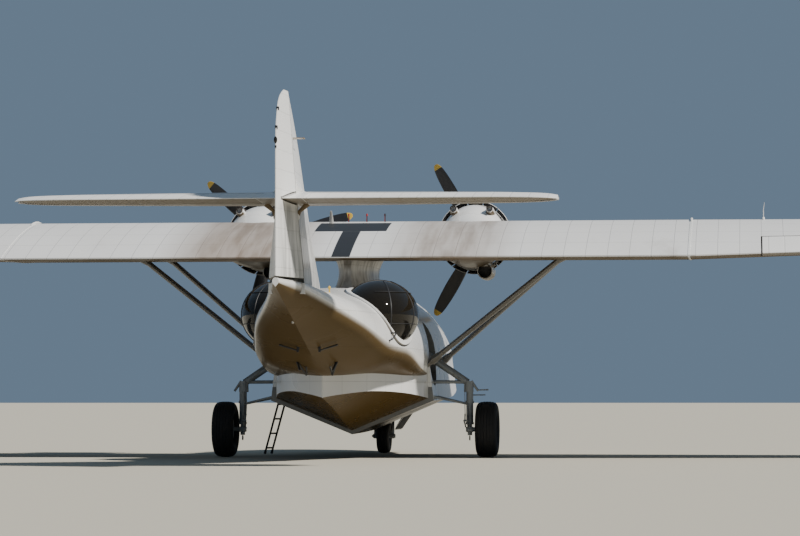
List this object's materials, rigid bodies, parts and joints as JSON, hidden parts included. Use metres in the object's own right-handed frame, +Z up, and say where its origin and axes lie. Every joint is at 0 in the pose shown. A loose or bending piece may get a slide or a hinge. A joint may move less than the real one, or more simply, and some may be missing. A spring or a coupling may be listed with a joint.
{
  "type": "twin-engined amphibian flying boat",
  "caption": "Amphibian flying boat with a wing on a pylon, a stepped hull with side blisters, radial engines, a high tail and tricycle wheels.",
  "frame": {"origin": "on the ground, under the middle of the box around the whole aircraft", "axes": "+X to starboard along the span, +Y to the nose, +Z up"},
  "size_m": [31.7, 19.47, 6.43],
  "materials": {
    "white_paint": "satin",
    "aft_white_paint": "satin",
    "doped_fabric": "satin",
    "engine_metal": "satin",
    "blade_paint": "satin",
    "clear_glass": "gloss",
    "tinted_glass": "gloss",
    "seat_metal": "matte",
    "gear_paint": "satin",
    "wheel_alloy": "satin",
    "tyre_rubber": "matte",
    "ladder_paint": "satin"
  },
  "bodies": {
    "airframe": {"hull_bow": "white_paint", "hull_centre": "white_paint", "hull_waist": "aft_white_paint", "hull_tail": "aft_white_paint", "fin": "aft_white_paint", "tailplane_left": "aft_white_paint", "tailplane_right": "aft_white_paint", "wing_centre": "white_paint", "wing_outer_left": "white_paint", "wing_outer_right": "white_paint", "float_left": "white_paint", "float_right": "white_paint", "pylon": "white_paint", "wing_strut_front_left": "white_paint", "wing_strut_front_right": "white_paint", "wing_strut_rear_left": "white_paint", "wing_strut_rear_right": "white_paint", "nacelle_left": "white_paint", "nacelle_right": "white_paint", "cowl_left": "white_paint", "cowl_right": "white_paint", "oil_cooler_left": "engine_metal", "oil_cooler_right": "engine_metal", "engine_left": "engine_metal", "engine_right": "engine_metal", "bow_turret": "clear_glass", "cockpit_glass": "clear_glass", "blister_left": "tinted_glass", "blister_right": "tinted_glass", "crew_seat_left": "seat_metal", "crew_seat_right": "seat_metal", "main_leg_left": "gear_paint", "main_leg_right": "gear_paint", "nose_leg": "gear_paint", "nose_door_left": "white_paint", "nose_door_right": "white_paint", "ladder": "ladder_paint"},
    "rudder_body": {"rudder": "doped_fabric"},
    "elevators": {"elevator_left": "doped_fabric", "elevator_right": "doped_fabric"},
    "aileron_left_body": {"aileron_left": "doped_fabric"},
    "aileron_right_body": {"aileron_right": "doped_fabric"},
    "propeller_left_body": {"propeller_left": "blade_paint"},
    "propeller_right_body": {"propeller_right": "blade_paint"},
    "main_wheel_left": {"main_rim_left": "wheel_alloy", "main_tyre_left": "tyre_rubber"},
    "main_wheel_right": {"main_rim_right": "wheel_alloy", "main_tyre_right": "tyre_rubber"},
    "nose_steering": {"nose_fork": "gear_paint"},
    "nose_wheel": {"nose_rim": "wheel_alloy", "nose_tyre": "tyre_rubber"}
  },
  "joints": [
    {"name": "rudder_hinge", "type": "hinge", "parent": "airframe", "child": "rudder_body", "pos_m": [0, -8.5, 4.5], "axis": [0, 0, 1], "range_deg": [-20, 20]},
    {"name": "elevator_hinge", "type": "hinge", "parent": "airframe", "child": "elevators", "pos_m": [0, -8.56, 4.572], "axis": [1, 0, 0], "range_deg": [-30, 20]},
    {"name": "aileron_right_hinge", "type": "hinge", "parent": "airframe", "child": "aileron_right_body", "pos_m": [8.1, -0.1276, 4.1213], "axis": [0.9966, 0.0781, 0.0258], "range_deg": [-18, 18]},
    {"name": "aileron_left_hinge", "type": "hinge", "parent": "airframe", "child": "aileron_left_body", "pos_m": [-8.1, -0.1276, 4.1213], "axis": [0.9966, -0.0781, -0.0258], "range_deg": [-18, 18]},
    {"name": "propeller_left_spin", "type": "hinge", "parent": "airframe", "child": "propeller_left_body", "pos_m": [-2.21, 4.265, 4.5], "axis": [0, 1, 0], "continuous": true},
    {"name": "propeller_right_spin", "type": "hinge", "parent": "airframe", "child": "propeller_right_body", "pos_m": [2.21, 4.265, 4.5], "axis": [0, 1, 0], "continuous": true},
    {"name": "main_wheel_left_spin", "type": "hinge", "parent": "airframe", "child": "main_wheel_left", "pos_m": [-2.64, 1.13, 0.555], "axis": [1, 0, 0], "continuous": true},
    {"name": "main_wheel_right_spin", "type": "hinge", "parent": "airframe", "child": "main_wheel_right", "pos_m": [2.64, 1.13, 0.555], "axis": [1, 0, 0], "continuous": true},
    {"name": "nose_steer", "type": "hinge", "parent": "airframe", "child": "nose_steering", "pos_m": [0, 6.13, 0.88], "axis": [0, 0, 1], "range_deg": [-30, 30]},
    {"name": "nose_wheel_spin", "type": "hinge", "parent": "nose_steering", "child": "nose_wheel", "pos_m": [0, 6.08, 0.365], "axis": [1, 0, 0], "continuous": true}
  ],
  "couplings": [
    {"joint": "aileron_left_hinge", "follows": "aileron_right_hinge", "ratio": -1}
  ]
}
